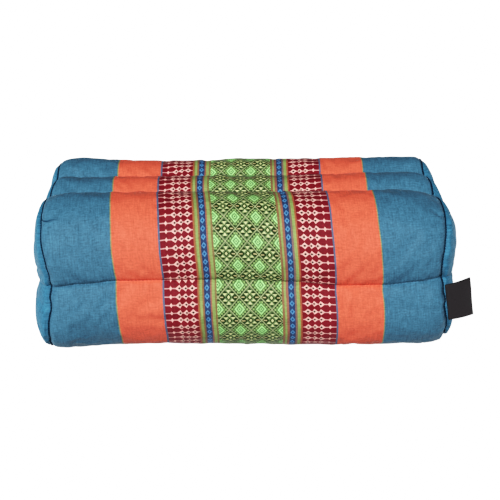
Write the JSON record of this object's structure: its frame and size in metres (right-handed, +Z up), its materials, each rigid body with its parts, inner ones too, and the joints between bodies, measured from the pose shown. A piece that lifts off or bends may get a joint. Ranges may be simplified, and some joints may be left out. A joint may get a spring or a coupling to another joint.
{
  "type": "rectangular zafu",
  "caption": "Rectangular block zafu: a filled floor cushion of puffed lobes between sewn channels, in a wrapped striped cover with plain end panels and a small blank tab.",
  "frame": {"origin": "on the flat underside, below the middle of the cushion", "axes": "+X along the cushion's length towards the end with the tab, front face towards -Y, +Z up"},
  "size_m": [0.349, 0.1744, 0.1248],
  "materials": {
    "cover_cloth": "striped woven cotton, mostly petrol blue, with orange, dark red and patterned green bands",
    "end_panel_cloth": "plain petrol blue woven cotton",
    "label_cloth": "black woven tape with a slight satin sheen"
  },
  "bodies": {
    "root": {"cushion_body": "cover_cloth", "end_panel_left": "end_panel_cloth", "end_panel_right": "end_panel_cloth", "label_tab": "label_cloth"}
  },
  "joints": []
}
